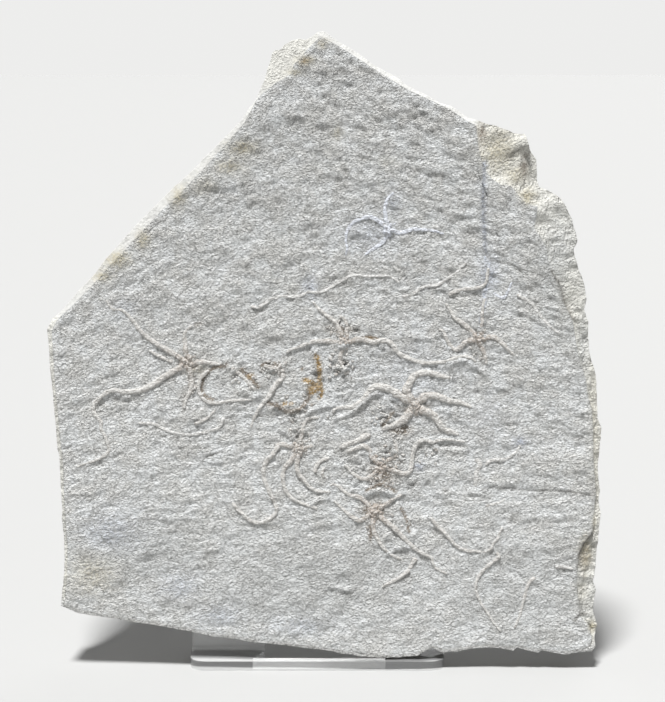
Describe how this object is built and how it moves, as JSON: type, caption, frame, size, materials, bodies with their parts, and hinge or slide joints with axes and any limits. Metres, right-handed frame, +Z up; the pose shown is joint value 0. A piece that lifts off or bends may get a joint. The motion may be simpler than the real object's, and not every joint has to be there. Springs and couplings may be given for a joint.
{
  "type": "fossil brittle star slab on easel",
  "caption": "Irregular slab of pale grey limestone with fossil brittle stars and loose arms standing proud of its face, leaning back on a bent clear acrylic easel.",
  "frame": {"origin": "centre of the object's bounding box at the level of the table it stands on", "axes": "+Z up, +X to the right when facing the fossils, +Y towards the back: the slab's face looks along -Y and a little up"},
  "size_m": [0.1388, 0.053, 0.1572],
  "materials": {
    "limestone": "matte",
    "calcite_brown": "matte",
    "calcite_tan": "matte",
    "calcite_blue_grey": "matte",
    "calcite_grey": "matte",
    "clear_acrylic": "gloss"
  },
  "bodies": {
    "root": {"limestone_slab": "limestone", "acrylic_easel": "clear_acrylic", "brittle_star_left": "calcite_brown", "brittle_star_upper_middle": "calcite_tan", "brittle_star_right": "calcite_brown", "brittle_star_thick_armed": "calcite_tan", "brittle_star_brown_middle": "calcite_brown", "brittle_star_low_middle": "calcite_tan", "brittle_star_curled": "calcite_tan", "brittle_star_small_broken": "calcite_tan", "brittle_star_faint_upper": "calcite_blue_grey", "loose_arm_beside_left_star": "calcite_grey", "loose_arm_hooked_left": "calcite_grey", "loose_arm_lower_left": "calcite_grey", "loose_arm_short_left": "calcite_grey", "loose_arm_slanting_left": "calcite_grey", "loose_arm_thick_middle": "calcite_grey", "loose_arm_curved_outer": "calcite_grey", "loose_arm_curved_inner": "calcite_grey", "loose_arm_forked_low": "calcite_grey", "loose_arm_long_low_right": "calcite_grey", "loose_arm_s_shaped": "calcite_grey", "loose_arm_bottom_right": "calcite_grey", "loose_arm_upright_right": "calcite_grey", "loose_arm_bent_right": "calcite_grey", "loose_arm_short_right": "calcite_grey", "loose_arm_straight_right": "calcite_grey", "loose_arm_long_upper": "calcite_grey", "loose_arm_upper_right": "calcite_grey", "loose_arm_angular": "calcite_grey", "loose_arm_v_shaped": "calcite_grey", "loose_arm_far_right": "calcite_grey"}
  },
  "joints": []
}
